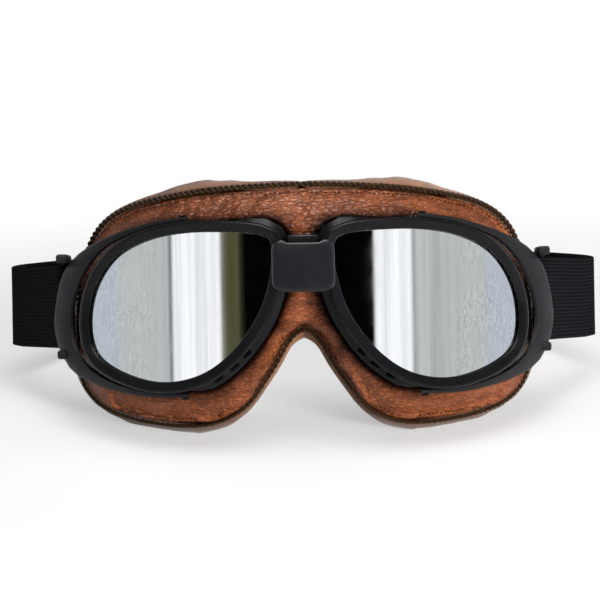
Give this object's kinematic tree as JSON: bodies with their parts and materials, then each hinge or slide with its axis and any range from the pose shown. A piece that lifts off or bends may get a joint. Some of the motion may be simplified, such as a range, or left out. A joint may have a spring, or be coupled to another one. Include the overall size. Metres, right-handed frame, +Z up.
{
  "type": "goggles",
  "caption": "Aviator-style motorcycle goggles with mirrored lenses in a black frame, brown leather face pad, swinging strap outriggers and a black elastic strap.",
  "frame": {"origin": "middle of the bounding box's underside, on the floor that the goggles stand on", "axes": "+X to the wearer's left, +Y from the lenses towards the back of the strap, +Z up; the goggles lean back by 14 degrees on their pad and slide buckles"},
  "size_m": [0.2268, 0.1742, 0.0885],
  "materials": {
    "black_nylon": "satin moulded",
    "charcoal_nylon": "matte moulded",
    "badge_black": "satin gloss",
    "mirror_lens": "silver mirror coating",
    "brown_leather": "pebble grain",
    "tan_lining": "soft",
    "foam": "open cell",
    "dark_thread": "overlocked",
    "elastic": "woven elastic",
    "steel_pin": "brushed"
  },
  "bodies": {
    "frame": {"left_lens_rim": "black_nylon", "right_lens_rim": "black_nylon", "left_lens": "mirror_lens", "right_lens": "mirror_lens", "left_eyecup": "black_nylon", "right_eyecup": "black_nylon", "left_upper_pivot_pin": "steel_pin", "right_upper_pivot_pin": "steel_pin", "left_lower_pivot_pin": "steel_pin", "right_lower_pivot_pin": "steel_pin", "left_face_lining": "tan_lining", "right_face_lining": "tan_lining", "left_eye_lining": "tan_lining", "right_eye_lining": "tan_lining", "bridge_badge": "badge_black", "bridge_link": "black_nylon", "leather_facing": "brown_leather", "foam_core": "foam", "edge_binding": "dark_thread", "back_strap": "elastic", "left_strap_return": "elastic", "right_strap_return": "elastic"},
    "left_arm": {"left_outrigger": "charcoal_nylon", "left_side_strap": "elastic"},
    "right_arm": {"right_outrigger": "charcoal_nylon", "right_side_strap": "elastic"},
    "left_buckle": {"left_slide_buckle": "black_nylon", "left_strap_loop": "elastic"},
    "right_buckle": {"right_slide_buckle": "black_nylon", "right_strap_loop": "elastic"}
  },
  "joints": [
    {"name": "left_arm_swing", "type": "hinge", "parent": "frame", "child": "left_arm", "pos_m": [0.0413, -0.07027, 0.04845], "axis": [0, -0.2436, -0.9699], "range_deg": [0, 18], "deforming": ["back_strap", "left_strap_return"]},
    {"name": "right_arm_swing", "type": "hinge", "parent": "frame", "child": "right_arm", "pos_m": [-0.0413, -0.07027, 0.04845], "axis": [0, 0.2436, 0.9699], "range_deg": [0, 18], "deforming": ["back_strap", "right_strap_return"]},
    {"name": "left_buckle_slide", "type": "slide", "parent": "frame", "child": "left_buckle", "axis": [-0.9834, 0.1761, -0.0442], "range_m": [0, 0.012], "deforming": ["left_strap_return"]},
    {"name": "right_buckle_slide", "type": "slide", "parent": "frame", "child": "right_buckle", "axis": [0.9834, 0.1761, -0.0442], "range_m": [0, 0.012], "deforming": ["right_strap_return"]}
  ]
}
